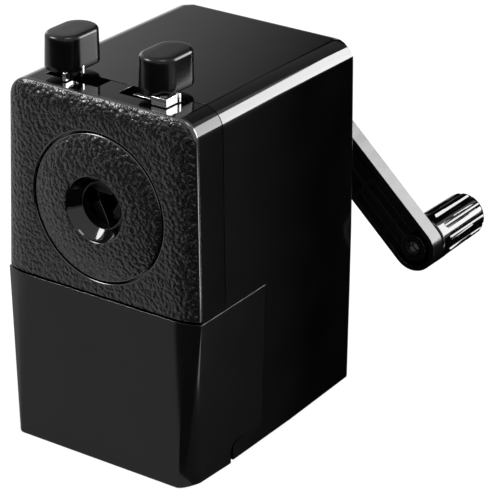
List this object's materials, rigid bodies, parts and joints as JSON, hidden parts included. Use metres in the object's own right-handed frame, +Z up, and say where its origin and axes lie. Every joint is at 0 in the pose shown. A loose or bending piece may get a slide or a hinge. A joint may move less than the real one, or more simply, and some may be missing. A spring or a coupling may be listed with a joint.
{
  "type": "crank pencil sharpener",
  "caption": "Desk pencil sharpener with a rear hand crank, a sprung front feed carriage with finger levers, a helical cutter and a shavings drawer.",
  "frame": {"origin": "centre of the body's footprint, on the surface the rubber pad stands on", "axes": "+Z up, -Y out of the pencil's port towards the user, +X to the user's right"},
  "size_m": [0.0884, 0.1461, 0.1312],
  "materials": {
    "gloss_black": "glossy black moulded plastic",
    "satin_black": "satin black moulded plastic",
    "textured_black": "black plastic with a coarse spark-eroded grain",
    "rubber_black": "black rubber",
    "bright_steel": "bright nickel-plated steel",
    "dark_steel": "hardened tool steel",
    "cast_grey": "bare die-cast metal",
    "brass": "turned brass"
  },
  "bodies": {
    "housing": {"casing": "gloss_black", "base_plate": "satin_black", "base_screws": "dark_steel", "rubber_pad": "rubber_black", "bulkhead": "satin_black", "bulkhead_screws": "dark_steel", "rod_bushes": "brass", "bearing_housing": "satin_black", "housing_screws": "dark_steel", "ring_gear": "dark_steel", "rear_bush": "brass", "return_springs": "bright_steel"},
    "carriage": {"carriage_shell": "gloss_black", "front_plate": "textured_black", "port_disc": "textured_black", "jaw_plate": "bright_steel", "plate_screws": "dark_steel", "guide_rods": "bright_steel", "rod_clips": "dark_steel", "jaw_pins": "bright_steel", "lever_spring": "bright_steel"},
    "right_lever": {"lever_right": "bright_steel", "cap_right": "gloss_black"},
    "left_lever": {"lever_left": "bright_steel", "cap_left": "gloss_black"},
    "top_jaw": {"jaw_top": "dark_steel"},
    "left_jaw": {"jaw_left": "dark_steel"},
    "right_jaw": {"jaw_right": "dark_steel"},
    "drawer": {"drawer": "satin_black"},
    "crank": {"crank_arm": "satin_black", "crank_shaft": "bright_steel", "crank_screw": "dark_steel", "knob_pin": "bright_steel", "cutter_cage": "cast_grey", "cutter_axle": "bright_steel"},
    "knob": {"crank_knob": "gloss_black"},
    "cutter": {"helical_cutter": "dark_steel", "cutter_pinion": "dark_steel"}
  },
  "joints": [
    {"name": "carriage_slide", "type": "slide", "parent": "housing", "child": "carriage", "axis": [0, -1, 0], "range_m": [0, 0.035], "stiffness_N_per_m": 120, "deforming": ["return_springs"]},
    {"name": "lever_pinch", "type": "hinge", "parent": "carriage", "child": "right_lever", "pos_m": [0, -0.03365, 0.0838], "axis": [0, -1, 0], "range_deg": [0, 11], "stiffness_Nm_per_rad": 0.8, "deforming": ["lever_spring"]},
    {"name": "left_lever_pinch", "type": "hinge", "parent": "carriage", "child": "left_lever", "pos_m": [0, -0.03495, 0.0838], "axis": [0, -1, 0], "range_deg": [-11, 0]},
    {"name": "top_jaw_pivot", "type": "hinge", "parent": "carriage", "child": "top_jaw", "pos_m": [-0.01178, -0.03755, 0.0906], "axis": [0, -1, 0], "range_deg": [0, 15.4]},
    {"name": "left_jaw_pivot", "type": "hinge", "parent": "carriage", "child": "left_jaw", "pos_m": [0, -0.03755, 0.0702], "axis": [0, -1, 0], "range_deg": [0, 15.4]},
    {"name": "right_jaw_pivot", "type": "hinge", "parent": "carriage", "child": "right_jaw", "pos_m": [0.01178, -0.03755, 0.0906], "axis": [0, -1, 0], "range_deg": [0, 15.4]},
    {"name": "drawer_slide", "type": "slide", "parent": "housing", "child": "drawer", "axis": [0, -1, 0], "range_m": [0, 0.06]},
    {"name": "crank_turn", "type": "hinge", "parent": "housing", "child": "crank", "pos_m": [0, 0.04175, 0.0838], "axis": [0, 1, 0], "continuous": true},
    {"name": "knob_spin", "type": "hinge", "parent": "crank", "child": "knob", "pos_m": [0.04468, 0.08575, 0.04271], "axis": [0, 1, 0], "continuous": true},
    {"name": "cutter_spin", "type": "hinge", "parent": "crank", "child": "cutter", "pos_m": [0, 0.00075, 0.09274], "axis": [0, 0.9806, -0.1961], "continuous": true}
  ],
  "couplings": [
    {"joint": "left_lever_pinch", "follows": "lever_pinch", "ratio": -1},
    {"joint": "top_jaw_pivot", "follows": "lever_pinch", "ratio": 1.4},
    {"joint": "left_jaw_pivot", "follows": "lever_pinch", "ratio": 1.4},
    {"joint": "right_jaw_pivot", "follows": "lever_pinch", "ratio": 1.4},
    {"joint": "cutter_spin", "follows": "crank_turn", "ratio": -2.2}
  ]
}
